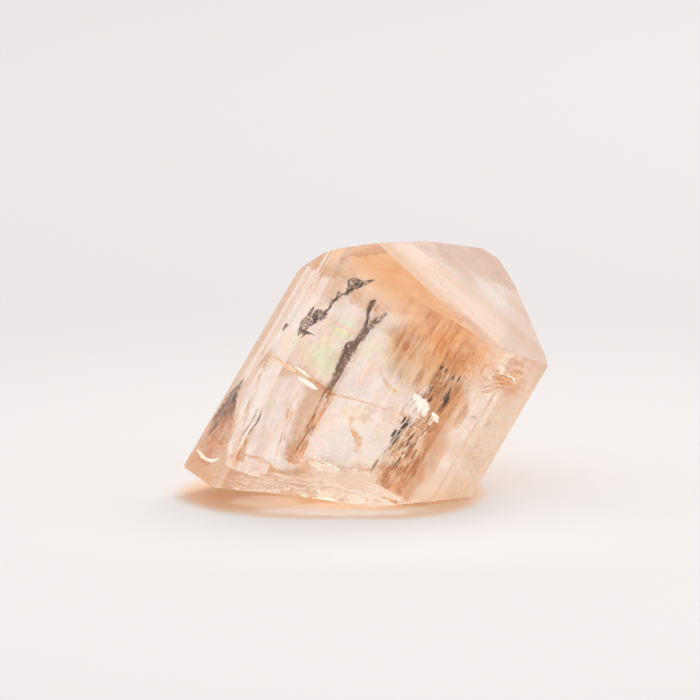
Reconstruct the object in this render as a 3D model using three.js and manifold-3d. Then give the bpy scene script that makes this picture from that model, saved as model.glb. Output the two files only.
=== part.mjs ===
// A rough topaz crystal, about 18 mm across, lying on its broken base.
// It is one solid: a striated prism, a roof of growth faces at the top, and a fractured, stepped underside.
// Millimetres, +Z up. The origin is under the middle of the crystal, on the surface that it rests on.

import * as THREE from "three";
import { mergeVertices } from "three/addons/utils/BufferGeometryUtils.js";
import Module from "manifold-3d";

const wasm = await Module();
wasm.setup();

const DEG = Math.PI / 180;

// The crystal's own frame: X across the broad front face, Y from front to back, Z up the prism.
// The prism leans to the right by LEAN, and its front face looks up by TIP.
const LEAN = 30.3 * DEG;
const TIP = 12 * DEG;
const REST_HEIGHT = -2.4; // the height of the resting plane, measured from the frame's corner

// The prism's cross-section, corner by corner, and the growth lines on each side.
const PRISM_BOTTOM = -6;
const PRISM_TOP = 20;
const PRISM_SIDES = [
  { name: "front", corner: [1.38, 0], lines: 34, depth: 0.035 },
  { name: "front right", corner: [10.25, 0], lines: 10, depth: 0.03 },
  { name: "back right", corner: [13.35, 2.4], lines: 16, depth: 0.06 },
  { name: "back", corner: [9.6, 9.9], lines: 12, depth: 0.06 },
  { name: "back left", corner: [4.7, 9.9], lines: 18, depth: 0.07 },
  { name: "left", corner: [-0.05, 2.9], lines: 9, depth: 0.06 },
];
const LINE_JITTER = 0.7; // how far a growth line strays from even spacing, as a share of it
const LINE_SEED = 20261;
const SMOOTH = { side: "front", from: 0.08, to: 0.6, share: 0.12 }; // a stretch with much fainter lines

// Growth faces at the top. Each is a plane: its height at a point, and how it climbs across and backwards.
const ROOF = [
  { name: "broad slope", at: [10.2, 0, 12.62], across: -0.217, back: 0.6 },
  { name: "left dome", at: [2.66, 0, 14.15], across: 0.78, back: -0.05 },
  { name: "left shoulder", at: [0.15, 2.5, 11.6], across: 2.6, back: -0.35 },
  { name: "left crest", at: [7.03, 5.65, 16.7], across: 0.95, back: -0.437 },
  { name: "rear slope", at: [8.1, 6.4, 16.92], across: 0.42, back: -1.15 },
  { name: "right rear dome", at: [9.75, 5.85, 16.25], across: -0.866, back: -0.542 },
  { name: "right dome", at: [12.1, 3.65, 14.52], across: -1.5, back: -0.75 },
  { name: "right strip", at: [10.9, 4.06, 14.94], across: -0.34, back: 0.49 },
];

// Flat breaks on the underside and the lower left, each given by a point and the way it faces.
const BREAKS = [
  { name: "lower left facet", at: [2.1, 0, 1.3], facing: [-0.786, -0.617, -0.037] },
  { name: "left underside", at: [1.2, 1, -0.5], facing: [0.05, 0.06, -1] },
  { name: "left heel", at: [0, 2.8, -0.42], facing: [-0.5, 0.02, -1] },
  { name: "front underside", at: [2.43, 0, -0.2], facing: [0.4325, 0.02, -1] },
  { name: "toe", at: [10.95, 0, 3.96], facing: [0.72, -0.05, -1] },
  { name: "rear underside", at: [5.2, 9.6, 3.2], facing: [0.12, 0.6, -0.79] },
  { name: "rear left underside", at: [2, 6.4, 0.49], facing: [-0.34, 0.42, -0.84] },
];

// Shell-shaped scoops where flakes have come away: a centre, three half-sizes, and turns about Y and Z.
const SCOOPS = [
  { name: "front ledge", at: [5.5, -2.56, 0.86], size: [4.17, 4, 0.745], turn: -23.4, swing: 0 },
  { name: "rear ledge", at: [7.6, 11.4, 5.3], size: [4.2, 2.6, 2.4], turn: -30, swing: 0 },
  { name: "left ledge", at: [-1.45, 5.4, 3.6], size: [1.9, 3.1, 2.6], turn: 10, swing: 0 },
  { name: "right chip", at: [11.72, 0.62, 11.88], size: [1.6, 0.9, 0.82], turn: -24, swing: 38 },
  { name: "first step below the chip", at: [11.82, 0.62, 11.16], size: [1.35, 0.76, 0.3], turn: -28, swing: 38 },
  { name: "second step below the chip", at: [11.75, 0.6, 10.84], size: [1.1, 0.66, 0.24], turn: -32, swing: 38 },
  { name: "edge nick", at: [8.3, -0.3, 13.22], size: [0.7, 0.5, 0.32], turn: 12, swing: 0 },
  { name: "first foot chip", at: [3.1, -0.12, 0.3], size: [0.95, 0.42, 0.3], turn: -14, swing: 6 },
  { name: "second foot chip", at: [4.55, -0.16, 1.12], size: [0.85, 0.5, 0.34], turn: -30, swing: -8 },
  { name: "third foot chip", at: [6.35, -0.2, 1.78], size: [1.2, 0.6, 0.3], turn: -20, swing: 5 },
  { name: "fourth foot chip", at: [8.2, -0.15, 2.42], size: [0.9, 0.55, 0.42], turn: -34, swing: -6 },
  { name: "fifth foot chip", at: [9.75, -0.16, 3.2], size: [0.8, 0.5, 0.36], turn: -18, swing: 8 },
];

// Square ledges where the foot has split along its flat cleavage: opposite corners of each block that is gone.
const LEDGES = [
  { name: "rear right ledge", from: [6.9, 8.35, -6], to: [16, 14, 6.15] },
  { name: "rear left ledge", from: [1.6, 7.9, -6], to: [5.2, 14, 2.35] },
];

// The cleavage step on the lower left of the front face: a shallow wedge, deepest at its right riser.
const STEP = { right: 4.2, top: 6.62, width: 7, depth: 0.16, lean: -9.4 * DEG };

const BIG = 60; // larger than the crystal, for the blocks that trim it
const SHELL_SIDES = 20;
const SHELL_RINGS = 12;
const MERGE_DISTANCE = 1e-4;

// A repeatable run of numbers from 0 to 1, for the uneven spacing of the growth lines.
function unevenNumbers(start) {
  const multiplier = 16807;
  const modulus = 2147483647;
  let state = start;
  return () => {
    state = (state * multiplier) % modulus;
    return state / modulus;
  };
}

function solidFrom(geometry) {
  const bare = geometry.index ? geometry.toNonIndexed() : geometry.clone();
  bare.deleteAttribute("normal");
  bare.deleteAttribute("uv");
  const merged = mergeVertices(bare, MERGE_DISTANCE);
  return new wasm.Manifold(
    new wasm.Mesh({
      numProp: 3,
      vertProperties: new Float32Array(merged.attributes.position.array),
      triVerts: new Uint32Array(merged.index.array),
    }),
  );
}

function geometryFrom(solid) {
  const mesh = solid.getMesh();
  const geometry = new THREE.BufferGeometry();
  geometry.setAttribute("position", new THREE.BufferAttribute(mesh.vertProperties, 3));
  geometry.setIndex(new THREE.BufferAttribute(mesh.triVerts, 1));
  const flat = geometry.toNonIndexed();
  flat.computeVertexNormals();
  return flat;
}

// Removes everything on the outer side of a plane.
function trimmed(solid, point, facing) {
  const outward = new THREE.Vector3(...facing).normalize();
  const block = new THREE.BoxGeometry(BIG, BIG, BIG);
  block.translate(0, 0, BIG / 2);
  block.applyQuaternion(new THREE.Quaternion().setFromUnitVectors(new THREE.Vector3(0, 0, 1), outward));
  block.translate(...point);
  return solid.subtract(solidFrom(block));
}

// One side of the cross-section: straight strips between growth lines, each a little in or out of the plane.
function stripedSide(side, next, random) {
  const from = new THREE.Vector2(...side.corner);
  const along = new THREE.Vector2(...next.corner).sub(from);
  const inward = new THREE.Vector2(-along.y, along.x).normalize();
  const points = [from];
  for (let i = 1; i < side.lines; i++) {
    const share = (i + LINE_JITTER * (random() - 0.5)) / side.lines;
    const smooth = side.name === SMOOTH.side && share > SMOOTH.from && share < SMOOTH.to;
    const inset = side.depth * random() * (smooth ? SMOOTH.share : 1);
    points.push(from.clone().addScaledVector(along, share).addScaledVector(inward, inset));
  }
  return points;
}

function prism() {
  const random = unevenNumbers(LINE_SEED);
  const outline = PRISM_SIDES.flatMap((side, i) =>
    stripedSide(side, PRISM_SIDES[(i + 1) % PRISM_SIDES.length], random),
  );
  const geometry = new THREE.ExtrudeGeometry(new THREE.Shape(outline), {
    depth: PRISM_TOP - PRISM_BOTTOM,
    bevelEnabled: false,
  });
  geometry.translate(0, 0, PRISM_BOTTOM);
  return solidFrom(geometry);
}

function withRoof(solid) {
  return ROOF.reduce((s, face) => trimmed(s, face.at, [-face.across, -face.back, 1]), solid);
}

// Straight down, written in the crystal's own frame.
function downwards() {
  return new THREE.Vector3(0, 0, -1).applyQuaternion(pose().invert());
}

function withUnderside(solid) {
  const down = downwards();
  const broken = BREAKS.reduce((s, face) => trimmed(s, face.at, face.facing), solid);
  return trimmed(broken, down.clone().multiplyScalar(-REST_HEIGHT).toArray(), down.toArray());
}

function withScoops(solid) {
  return SCOOPS.reduce((s, scoop) => {
    const shell = new THREE.SphereGeometry(1, SHELL_SIDES, SHELL_RINGS);
    shell.scale(...scoop.size);
    shell.rotateY(scoop.turn * DEG);
    shell.rotateZ(scoop.swing * DEG);
    shell.translate(...scoop.at);
    return s.subtract(solidFrom(shell));
  }, solid);
}

function withLedges(solid) {
  return LEDGES.reduce((s, ledge) => {
    const from = new THREE.Vector3(...ledge.from);
    const size = new THREE.Vector3(...ledge.to).sub(from);
    const block = new THREE.BoxGeometry(...size);
    block.translate(...from.addScaledVector(size, 0.5));
    return s.subtract(solidFrom(block));
  }, solid);
}

function withStep(solid) {
  const wedge = new THREE.BoxGeometry(STEP.width, 1, BIG);
  wedge.translate(-STEP.width / 2, -0.5, 0);
  wedge.rotateZ(Math.atan2(STEP.depth, STEP.right));
  wedge.rotateY(STEP.lean);
  wedge.translate(STEP.right, STEP.depth, STEP.top);
  return solid.subtract(trimmed(solidFrom(wedge), [0, 0, STEP.top], [0, 0, 1]));
}

// Turns the crystal from its own frame to the way it lies.
function pose() {
  return new THREE.Quaternion()
    .setFromAxisAngle(new THREE.Vector3(1, 0, 0), -TIP)
    .multiply(new THREE.Quaternion().setFromAxisAngle(new THREE.Vector3(0, 1, 0), LEAN));
}

const topaz = new THREE.MeshStandardMaterial({
  name: "topaz",
  color: new THREE.Color(0.93, 0.72, 0.56),
  roughness: 0.08,
  metalness: 0,
  transparent: true,
  opacity: 0.6,
});

function crystal() {
  const trimmedPrism = withUnderside(withRoof(prism()));
  const solid = withStep(withLedges(withScoops(trimmedPrism)));
  const mesh = new THREE.Mesh(geometryFrom(solid), topaz);
  mesh.name = "crystal";
  mesh.quaternion.copy(pose());
  return mesh;
}

const stone = new THREE.Group();
stone.add(crystal());

const box = new THREE.Box3().setFromObject(stone, true);
const middle = box.getCenter(new THREE.Vector3());
stone.position.set(-middle.x, -middle.y, -REST_HEIGHT);

export default stone;
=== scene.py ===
"""A rough topaz crystal on a pale floor: the clear stone and the cracks and veils that show inside it."""

import math
import random

import bpy
from bpy.props import FloatProperty, FloatVectorProperty, IntProperty, PointerProperty
from mathutils import Matrix, Vector


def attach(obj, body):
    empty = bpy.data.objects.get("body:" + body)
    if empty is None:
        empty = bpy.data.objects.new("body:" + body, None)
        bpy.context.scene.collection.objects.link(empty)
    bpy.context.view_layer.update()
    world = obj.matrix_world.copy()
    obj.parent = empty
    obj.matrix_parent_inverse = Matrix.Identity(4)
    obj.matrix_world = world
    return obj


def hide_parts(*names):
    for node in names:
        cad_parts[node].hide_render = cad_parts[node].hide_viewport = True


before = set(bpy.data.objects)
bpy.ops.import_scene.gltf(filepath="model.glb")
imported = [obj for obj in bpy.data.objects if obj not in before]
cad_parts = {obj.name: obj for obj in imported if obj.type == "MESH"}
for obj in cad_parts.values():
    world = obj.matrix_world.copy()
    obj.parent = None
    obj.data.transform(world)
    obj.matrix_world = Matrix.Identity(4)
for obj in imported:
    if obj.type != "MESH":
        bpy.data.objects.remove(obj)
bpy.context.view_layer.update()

bl_info = {
    "name": "Rough topaz crystal",
    "version": (1, 0, 0),
    "blender": (4, 5, 0),
    "location": "View3D > Sidebar > Topaz",
    "description": "Builds a clear peach topaz crystal with its inner cracks, and a pale stage",
    "category": "Add Mesh",
}

MM = 0.001

# The crystal's own frame, as the part's source has it: across the front face, backwards, and up the prism.
LEAN = math.radians(30.3)
TIP = math.radians(12)
CORNER = Vector((-8.9959, -5.3875, 2.4)) * MM
TURN = Matrix.Rotation(-TIP, 3, "X") @ Matrix.Rotation(LEAN, 3, "Y")
STRAIGHT_DOWN = TURN.transposed() @ Vector((0, 0, -1))

# How fast the top edge of the front face falls to the right in that frame.
TOP_EDGE_FALL = 0.217

# Kinds of faces: a name, the way they look in that frame, and how closely they look that way.
FACE_KINDS = (
    ("frost", (0.61, -0.79, 0), 0.93),
    ("slope", (0.183, -0.506, 0.843), 0.96),
    ("foot", (0, 0, -1), 0.35),
    ("back", (0, 1, 0), 0.2),
)

# On the copy of the solid, nearer points are merged, flatter edges go, and sharper edges are rounded.
MERGE_DISTANCE = 0.0005 * MM
FLAT_ANGLE = math.radians(0.5)
SHARP_ANGLE = math.radians(20)

# How strongly the stone bends light, and how rough its clear faces are.
STONE_IOR = 1.62
POLISH = 0.015

# Colours that several materials share, and those that a very thin film shows, one after another.
CLEAR = (1.0, 1.0, 1.0)
TOP_PEACH = (1.0, 0.82, 0.64)
FILM_SHADES = ((1.0, 0.7, 0.8), (1.0, 0.95, 0.6), (0.72, 1.0, 0.84), (0.72, 0.9, 1.0), (1.0, 0.78, 0.9))

# The point of the crystal's frame at the middle of the picture, in millimetres.
PICTURE_CENTRE = (4.28, 0.0, 8.929)

# The key light's place and width, in metres.
KEY_LIGHT_PLACE = (0.14, 0.17, 0.32)
KEY_LIGHT_WIDTH = 0.25

# Planes a little inside the stone's faces: a point in millimetres and the way out.
INNER_LIMITS = (
    ((2.43, 0, 0.3), (0.4325, 0.02, -1)),
    ((10.95, 0, 4.3), (0.72, -0.05, -1)),
    ((2.66, 0, 13.65), (-0.78, 0.05, 1)),
    ((10.2, 0, 12.3), (TOP_EDGE_FALL, -0.6, 1)),
    ((2.1, 0.4, 1.3), (-0.786, -0.617, -0.037)),
    ((10.25, 0.2, 5), (0.61, -0.79, 0)),
    (STRAIGHT_DOWN * 2.2, STRAIGHT_DOWN),
)

# Turns: a sheet, or a crack's first edge, is stood upright, or the edge is left slanting.
UPRIGHT = math.radians(90)
SLANTING = math.radians(45)

# How often the faces of a crack are cut up before they are torn, and how many cells a film has along a side.
TEAR_CUTS = 7
FILM_CELLS = 14

# A splinter's thickness as a share of its width, and how far its points are moved about.
SPLINTER_THINNESS = 0.25
SPLINTER_JITTER = 0.09 * MM

# How far splinters stray backwards, in millimetres, and how much their direction wanders.
DEPTH_STRAY = 0.2
WANDER = (0.08, 0.1, 0.08)


def level(back, *stops):
    """A crack whose stops all lie at one depth: each is a place across and up, and the width there."""
    return tuple((across, back, up, width) for across, up, width in stops)


# Cracks: each stop is a place across, back and up in millimetres, and the crack's width there.
FISSURE_DEPTH = 2.4
FISSURE_STEM = level(
    FISSURE_DEPTH,
    (4.42, 6.75, 0.3),
    (4.4, 7.3, 0.46),
    (4.33, 7.9, 0.5),
    (4.3, 8.4, 0.62),
    (4.28, 8.8, 0.66),
    (4.45, 9.3, 0.36),
    (4.52, 10.1, 0.36),
)
FISSURE_LEFT_PRONG = level(
    FISSURE_DEPTH,
    (4.42, 10.1, 0.3),
    (4.3, 10.5, 0.13),
    (4.1, 10.95, 0.22),
    (4.05, 11.35, 0.3),
    (4.14, 11.7, 0.1),
)
FISSURE_RIGHT_PRONG = level(
    FISSURE_DEPTH,
    (4.52, 10.05, 0.25),
    (4.62, 10.5, 0.34),
    (4.8, 10.95, 0.28),
    (4.95, 11.45, 0.12),
)
ARC_DEPTH = 0.7
ARC_HEAD = level(
    ARC_DEPTH,
    (2.72, 11.3, 0.2),
    (2.8, 11.5, 0.7),
    (2.95, 11.75, 0.78),
    (3.12, 11.95, 0.5),
    (3.3, 12.2, 0.2),
    (3.6, 12.55, 0.1),
)
ARC_LEG = level(
    ARC_DEPTH,
    (2.25, 9.85, 0.16),
    (2.36, 10.2, 0.1),
    (2.3, 10.5, 0.3),
    (2.42, 10.75, 0.12),
    (2.5, 10.95, 0.44),
    (2.62, 11.15, 0.1),
    (2.75, 11.35, 0.2),
)
ARC_BLOB = level(
    ARC_DEPTH,
    (1.8, 8.5, 0.24),
    (1.8, 8.75, 0.5),
    (1.98, 9.05, 0.5),
    (2.1, 9.35, 0.72),
    (2.18, 9.6, 0.6),
    (2.3, 9.85, 0.2),
)
ARC_TAIL = level(ARC_DEPTH, (1.9, 8.3, 0.12), (2.05, 8.45, 0.36), (2.35, 8.6, 0.14))
ARC_FLECK = level(1.5, (1.0, 8.15, 0.14), (1.05, 8.3, 0.36), (1.1, 8.42, 0.12))
HAIR_CRACK = level(
    0.8,
    (1.95, 2.4, 0.03),
    (2.0, 2.75, 0.06),
    (2.05, 3.05, 0.03),
    (2.09, 3.5, 0.07),
    (2.01, 4.04, 0.03),
)

# The lens lies along the lower left facet: a painted reflection of that facet, with a painted highlight for
# its rim.
LENS_CORNER = (0.055, 3.19, 0.0)
LENS_TURN = math.radians(-51.9)
LENS = level(
    0.0,
    (1.35, 0.62, 0.8),
    (1.25, 0.95, 1.6),
    (1.12, 1.5, 1.8),
    (0.98, 2.2, 1.5),
    (0.8, 3.2, 1.0),
    (0.78, 4.1, 0.5),
    (0.92, 4.95, 0.1),
)
LENS_RIM_HIGHLIGHT = level(
    -0.05,
    (0.45, 0.62, 0.08),
    (0.9, 0.5, 0.22),
    (1.4, 0.48, 0.14),
    (1.9, 0.6, 0.2),
    (2.3, 0.85, 0.08),
)

# Amber lines, and the milky patch on the ledge at the foot, which glows: a painted highlight.
AMBER_SQUIGGLE = level(
    1.2,
    (7.1, 4.8, 0.3),
    (6.8, 5.05, 0.7),
    (6.45, 5.3, 0.5),
    (6.15, 5.6, 0.24),
    (6.08, 5.9, 0.34),
)
AMBER_CURL = level(
    1.3,
    (7.25, 8.3, 0.2),
    (6.8, 8.12, 0.5),
    (6.35, 8.25, 0.55),
    (6.05, 8.55, 0.45),
    (5.95, 8.9, 0.2),
)
CLEAVAGE_LINE = (
    (0.6, 2.1, 6.55, 0.12),
    (1.3, 1.0, 6.72, 0.2),
    (1.7, 0.55, 6.66, 0.18),
    (2.2, 0.5, 6.6, 0.14),
    (3.2, 0.5, 6.68, 0.22),
    (4.4, 0.7, 6.52, 0.2),
    (5.8, 0.9, 6.95, 0.08),
    (7.4, 0.9, 7.3, 0.06),
)
FACET_LINE = (
    (1.4, 0.8, 9.3, 0.03),
    (1.33, 0.82, 10.2, 0.07),
    (1.27, 0.84, 11.2, 0.05),
    (1.24, 0.86, 12.0, 0.03),
)
LEDGE_LINE = level(0.9, (2.3, 1.75, 0.08), (2.9, 1.95, 0.24), (3.5, 2.0, 0.14), (4.0, 1.9, 0.06))
LEDGE_GLOWING_PATCH = level(1.0, (2.2, 1.05, 0.5), (2.6, 1.3, 0.66), (3.1, 1.5, 0.66), (3.5, 1.7, 0.5))

# Painted highlights that glow in the stone: white glints along the cleavage line, and white patches at the
# right and in the chip.
CLEAVAGE_GLINTS = (
    level(0.8, (1.55, 6.62, 0.08), (2.0, 6.62, 0.2), (2.45, 6.6, 0.06)),
    level(0.8, (2.35, 6.82, 0.06), (2.8, 6.78, 0.18), (3.2, 6.72, 0.06)),
    level(0.8, (2.75, 6.45, 0.08), (3.3, 6.42, 0.26), (3.8, 6.4, 0.08)),
)
PAINTED_HIGHLIGHT_PATCHES = (
    level(1.1, (8.3, 8.55, 0.25), (8.5, 8.3, 0.75), (8.75, 8.05, 0.9), (9.05, 7.75, 0.4)),
    level(1.1, (9.48, 8.25, 0.15), (9.65, 8.05, 0.45), (9.82, 7.85, 0.3)),
    ((11.05, 1.95, 12.05, 0.12), (11.25, 1.9, 11.85, 0.5), (11.45, 1.9, 11.6, 0.15)),
    ((11.85, 2.05, 11.75, 0.08), (12.1, 2.05, 11.68, 0.26), (12.3, 2.1, 11.6, 0.1)),
)

# Bands of fine shards: how many, from where, to where, how far they stray, their lengths and widths.
DARK_BANDS = (
    (14, (9.75, 1.2, 8.7), (9.6, 1.2, 9.6), 0.16, (0.4, 0.9), (0.05, 0.16)),
    (14, (8.4, 1.2, 6.3), (8.5, 1.2, 7.4), 0.16, (0.4, 0.9), (0.06, 0.18)),
    (3, (8.69, 1.2, 10.25), (8.7, 1.2, 10.5), 0.05, (0.2, 0.4), (0.06, 0.12)),
    (2, (8.98, 1.2, 10.3), (9.0, 1.2, 10.5), 0.04, (0.2, 0.4), (0.05, 0.1)),
    (2, (9.45, 1.2, 10.25), (9.46, 1.2, 10.5), 0.04, (0.2, 0.4), (0.05, 0.1)),
    (3, (9.7, 1.2, 10.2), (9.72, 1.2, 10.5), 0.05, (0.2, 0.5), (0.06, 0.12)),
    (14, (0.42, 2.75, 1.4), (0.62, 2.55, 4.6), 0.09, (0.5, 1.1), (0.03, 0.08)),
    (3, (8.62, 1.2, 8.5), (8.66, 1.2, 8.75), 0.06, (0.15, 0.3), (0.08, 0.14)),
    (4, (8.66, 1.2, 9.0), (8.7, 1.2, 9.3), 0.1, (0.2, 0.5), (0.03, 0.08)),
    (4, (9.02, 1.2, 8.6), (9.08, 1.2, 9.0), 0.08, (0.2, 0.5), (0.03, 0.08)),
    (4, (9.9, 1.2, 7.45), (10.0, 1.2, 7.65), 0.08, (0.2, 0.4), (0.05, 0.1)),
    (3, (8.5, 1.2, 5.7), (8.6, 1.2, 6.2), 0.05, (0.4, 0.6), (0.08, 0.16)),
    (22, (8.8, 1.3, 5.4), (9.1, 1.3, 7.8), 0.6, (0.15, 0.5), (0.03, 0.1)),
    (14, (8.9, 1.4, 8.8), (9.3, 1.4, 10.4), 0.6, (0.2, 0.5), (0.02, 0.07)),
    (3, (8.6, 0.6, 2.9), (8.35, 0.6, 3.3), 0.08, (0.25, 0.4), (0.05, 0.1)),
    (5, (10.35, 0.6, 4.3), (10.8, 0.6, 4.55), 0.14, (0.2, 0.35), (0.04, 0.08)),
    (4, (11.3, 1.25, 9.0), (11.45, 1.3, 9.4), 0.1, (0.15, 0.3), (0.03, 0.08)),
    (9, (2.75, 0.7, 11.4), (3.2, 0.7, 12.1), 0.14, (0.3, 0.6), (0.08, 0.2)),
    (4, (2.4, 0.7, 10.7), (2.55, 0.7, 11.0), 0.1, (0.2, 0.4), (0.06, 0.16)),
    (7, (1.95, 0.7, 9.0), (2.15, 0.7, 9.6), 0.14, (0.3, 0.5), (0.08, 0.18)),
    (7, (11.15, 1.15, 8.9), (11.4, 1.3, 9.2), 0.12, (0.15, 0.35), (0.04, 0.1)),
    (4, (11.95, 1.75, 9.1), (12.1, 1.8, 9.4), 0.08, (0.15, 0.3), (0.05, 0.12)),
    (3, (11.2, 1.15, 8.5), (11.3, 1.2, 8.65), 0.06, (0.1, 0.2), (0.04, 0.08)),
)
BROWN_BANDS = (
    (12, (8.9, 0.95, 7.5), (8.9, 0.95, 8.6), 0.6, (0.4, 0.9), (0.02, 0.04)),
    (70, (8.9, 1.5, 4.8), (9.2, 1.5, 7.8), 0.7, (0.2, 0.8), (0.03, 0.1)),
    (50, (8.8, 1.6, 8.2), (9.2, 1.6, 10.6), 0.8, (0.2, 0.9), (0.02, 0.08)),
    (24, (4.6, 1.2, 3.0), (4.3, 1.2, 6.7), 0.3, (0.3, 1.1), (0.03, 0.1)),
    (14, (3.9, 1.2, 2.8), (3.3, 1.2, 4.8), 0.28, (0.2, 0.8), (0.02, 0.08)),
    (20, (2.1, 0.8, 1.3), (1.05, 1.7, 5.9), 0.2, (0.3, 1.2), (0.02, 0.07)),
    (16, (4.45, 2.2, 6.3), (4.4, 2.2, 7.6), 0.15, (0.2, 0.5), (0.03, 0.07)),
    (30, (2.5, 0.6, 0.9), (8.0, 0.6, 2.9), 0.3, (0.1, 0.5), (0.02, 0.06)),
)
# The white shards glow in the stone: painted glints on the cracks and the broken foot.
PAINTED_GLINT_BANDS = (
    (14, (8.7, 1.0, 7.7), (8.6, 1.0, 8.6), 0.4, (0.3, 0.7), (0.04, 0.12)),
    (8, (9.6, 1.0, 7.7), (9.6, 1.0, 8.3), 0.2, (0.2, 0.5), (0.04, 0.1)),
    (18, (9.9, 0.5, 11.2), (10.6, 0.9, 10.5), 0.3, (0.1, 0.3), (0.04, 0.1)),
    (4, (11.8, 1.65, 9.6), (11.9, 1.65, 9.8), 0.05, (0.2, 0.35), (0.08, 0.14)),
    (5, (12.0, 1.8, 8.0), (12.15, 1.85, 8.6), 0.06, (0.2, 0.5), (0.06, 0.12)),
    (6, (9.9, 0.4, 11.2), (10.4, 0.5, 11.6), 0.2, (0.1, 0.2), (0.06, 0.12)),
    (24, (5.0, 0.8, 3.2), (8.0, 0.8, 6.8), 1.0, (0.04, 0.12), (0.03, 0.07)),
    (14, (4.9, 2.0, 7.4), (5.6, 2.0, 10.2), 0.5, (0.05, 0.12), (0.04, 0.08)),
    (50, (8.6, 1.2, 4.8), (9.1, 1.2, 7.6), 0.7, (0.1, 0.6), (0.02, 0.06)),
    (24, (4.7, 1.0, 3.2), (4.45, 1.0, 6.5), 0.35, (0.2, 0.9), (0.02, 0.05)),
    (20, (2.2, 0.7, 1.3), (1.1, 1.6, 5.9), 0.2, (0.3, 1.2), (0.02, 0.04)),
    (14, (4.65, 2.2, 7.6), (4.65, 2.2, 9.4), 0.15, (0.1, 0.3), (0.03, 0.05)),
    (70, (1.6, 0.5, 0.6), (8.2, 0.5, 2.9), 0.28, (0.4, 1.6), (0.03, 0.08)),
    (2, (5.38, 2.0, 8.85), (5.38, 2.0, 9.0), 0.03, (0.12, 0.18), (0.12, 0.16)),
    (2, (4.77, 2.0, 8.9), (4.77, 2.0, 9.05), 0.03, (0.1, 0.14), (0.1, 0.14)),
    (2, (5.16, 2.0, 6.85), (5.16, 2.0, 7.0), 0.03, (0.08, 0.12), (0.08, 0.12)),
    (1, (4.11, 2.0, 9.05), (4.11, 2.0, 9.2), 0.02, (0.1, 0.14), (0.1, 0.12)),
    (40, (4.4, 0.6, 2.7), (8.8, 0.6, 4.4), 0.25, (0.4, 1.8), (0.02, 0.05)),
    (10, (2.75, 0.6, 11.3), (3.2, 0.6, 12.1), 0.3, (0.1, 0.3), (0.03, 0.08)),
    (10, (1.9, 0.6, 8.7), (2.3, 0.6, 10.4), 0.3, (0.1, 0.3), (0.03, 0.08)),
    (10, (10.9, 2.1, 11.5), (12.0, 2.4, 12.1), 0.16, (0.1, 0.35), (0.1, 0.3)),
    (4, (0.6, 2.3, 2.0), (0.68, 2.25, 2.25), 0.05, (0.12, 0.25), (0.05, 0.09)),
    (16, (0.9, 1.9, 6.1), (2.4, 0.6, 7.0), 0.2, (0.3, 0.9), (0.02, 0.05)),
    (14, (10.6, 0.95, 9.8), (11.8, 1.95, 10.4), 0.5, (0.04, 0.14), (0.04, 0.1)),
)
AMBER_BANDS = (
    (5, (1.5, 0.7, 8.2), (2.1, 0.7, 8.35), 0.12, (0.3, 0.6), (0.12, 0.26)),
    (3, (4.38, 2.2, 11.1), (4.45, 2.2, 11.45), 0.05, (0.3, 0.5), (0.1, 0.16)),
    (6, (3.2, 1.3, 4.3), (3.4, 1.3, 4.8), 0.16, (0.3, 0.6), (0.1, 0.24)),
    (70, (1.6, 0.7, 0.7), (8.2, 0.7, 3.2), 0.3, (0.4, 1.4), (0.03, 0.08)),
    (24, (0.8, 2.0, 6.4), (4.2, 0.6, 6.7), 0.12, (0.4, 1.2), (0.02, 0.06)),
    (60, (2.2, 0.8, 1.2), (1.05, 1.7, 5.9), 0.25, (0.4, 1.6), (0.04, 0.12)),
    (16, (10.0, 0.9, 4.6), (10.4, 0.9, 6.0), 0.4, (0.3, 0.7), (0.06, 0.2)),
    (12, (10.7, 2.0, 10.9), (12.0, 2.4, 11.4), 0.15, (0.4, 0.9), (0.03, 0.08)),
    (60, (4.7, 1.1, 3.0), (4.4, 1.1, 6.7), 0.32, (0.4, 1.6), (0.05, 0.14)),
    (40, (4.0, 1.1, 2.6), (3.3, 1.1, 4.8), 0.3, (0.3, 1.0), (0.05, 0.12)),
    (60, (1.8, 0.7, 12.0), (4.4, 0.5, 13.2), 0.5, (0.3, 1.2), (0.02, 0.05)),
)


def spot(across, back, up):
    """A point of the crystal's own frame, given in millimetres, in the scene."""
    return CORNER + TURN @ (Vector((across, back, up)) * MM)


# Properties


def length_setting(name, description, default):
    return FloatProperty(name=name, description=description, default=default, unit="LENGTH")


def colour_setting(name, description, default):
    return FloatVectorProperty(
        name=name,
        description=description,
        default=default,
        size=3,
        min=0,
        max=1,
        subtype="COLOR",
    )


class TopazStone(bpy.types.PropertyGroup):
    edge_wear: length_setting("Edge wear", "Width of the rounding on the crystal's edges", 0.045 * MM)
    tint: colour_setting("Tint", "Colour of light that has passed through the stone", (0.95, 0.5, 0.05))
    tint_depth: FloatProperty(
        name="Tint depth",
        description="How fast the stone's colour deepens with thickness, per metre",
        default=36,
    )
    groove_height: length_setting("Groove height", "Depth of the fine growth grooves", 0.018 * MM)
    frost_height: length_setting("Frost height", "Depth of the grain on the frosted right face", 0.02 * MM)
    ripple_height: length_setting("Ripple height", "Depth of the ripples on the broken foot", 0.12 * MM)


class TopazInside(bpy.types.PropertyGroup):
    crack_thickness: length_setting("Crack thickness", "Thickness of the cracks' thin sheets", 0.03 * MM)
    seed: IntProperty(
        name="Seed",
        description="Changes the torn edges and the scattered streaks",
        default=7,
        min=1,
    )
    dark: colour_setting("Crack colour", "Darkest colour in the cracks", (0.075, 0.052, 0.036))
    brown: colour_setting("Streak colour", "Colour of the brown growth streaks", (0.42, 0.2, 0.09))
    # The colour of the glowing glints, patches, rim and white streaks, which are painted highlights.
    pale: colour_setting("Glint colour", "Colour of the white glints and patches", (0.96, 0.93, 0.9))


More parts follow.
